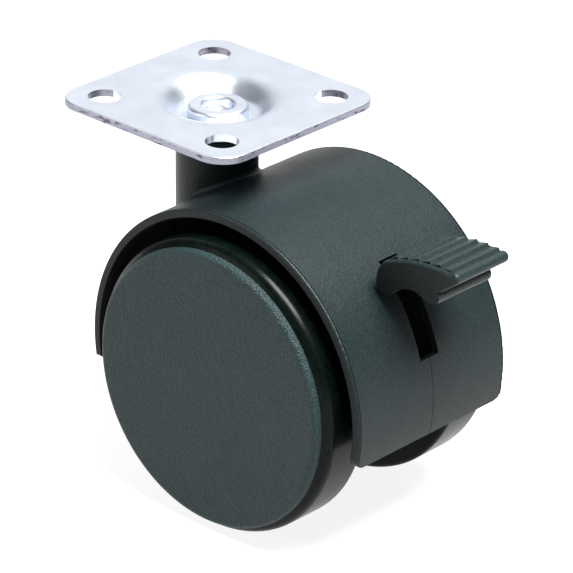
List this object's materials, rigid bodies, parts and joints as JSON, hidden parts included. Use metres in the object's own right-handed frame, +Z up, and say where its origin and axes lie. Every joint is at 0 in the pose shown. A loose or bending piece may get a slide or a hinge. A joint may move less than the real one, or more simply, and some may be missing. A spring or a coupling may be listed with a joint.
{
  "type": "chair caster wheel",
  "caption": "Swivelling twin-wheel furniture caster with a square bolt-on top plate, a cylindrical hood over the wheels and a ribbed foot pedal that brakes them.",
  "frame": {"origin": "centre of the mounting plate's top face, on the swivel axis", "axes": "+Z up, along the swivel axis and out of the mounting face; +X from the swivel axis towards the wheel axle and the brake pedal; +Y along the wheel axle, to the right wheel"},
  "size_m": [0.0755, 0.0438, 0.064],
  "materials": {
    "zinc_plate": "satin bright zinc plating",
    "steel": "drawn bright steel",
    "spring_steel": "spring wire",
    "housing_nylon": "fine spark-eroded grain",
    "pedal_nylon": "grained, ribbed across the top",
    "wheel_nylon": "smooth moulded tread",
    "face_nylon": "fine grained disc",
    "acetal": "natural acetal"
  },
  "bodies": {
    "plate": {"mounting_plate": "zinc_plate", "king_pin": "zinc_plate", "thrust_washer": "steel", "retaining_ring": "steel"},
    "housing": {"hood_housing": "housing_nylon", "swivel_bush": "acetal", "seat_washer": "steel", "axle": "steel", "hub_washer_right": "steel", "hub_washer_left": "steel", "axle_clip_right": "steel", "axle_clip_left": "steel", "brake_spring": "spring_steel"},
    "right_wheel": {"wheel_right": "wheel_nylon", "wheel_cap_right": "face_nylon", "hub_sleeve_right": "acetal"},
    "left_wheel": {"wheel_left": "wheel_nylon", "wheel_cap_left": "face_nylon", "hub_sleeve_left": "acetal"},
    "lever": {"brake_lever": "pedal_nylon"},
    "bar": {"brake_bar": "steel"}
  },
  "joints": [
    {"name": "swivel", "type": "hinge", "parent": "plate", "child": "housing", "pos_m": [0, 0, 0], "axis": [0, 0, 1], "continuous": true},
    {"name": "right_wheel_spin", "type": "hinge", "parent": "housing", "child": "right_wheel", "pos_m": [0.0185, 0, -0.039], "axis": [0, 1, 0], "continuous": true},
    {"name": "left_wheel_spin", "type": "hinge", "parent": "housing", "child": "left_wheel", "pos_m": [0.0185, 0, -0.039], "axis": [0, 1, 0], "continuous": true},
    {"name": "brake_press", "type": "hinge", "parent": "housing", "child": "lever", "pos_m": [0.0185, 0, -0.039], "axis": [0, 1, 0], "range_deg": [0, 23.5]},
    {"name": "bar_lift", "type": "slide", "parent": "housing", "child": "bar", "axis": [0, 0, 1], "range_m": [0, 0.002], "deforming": ["brake_spring"]}
  ],
  "couplings": [
    {"joint": "bar_lift", "follows": "brake_press", "m_per_rad": 0.0048762}
  ]
}
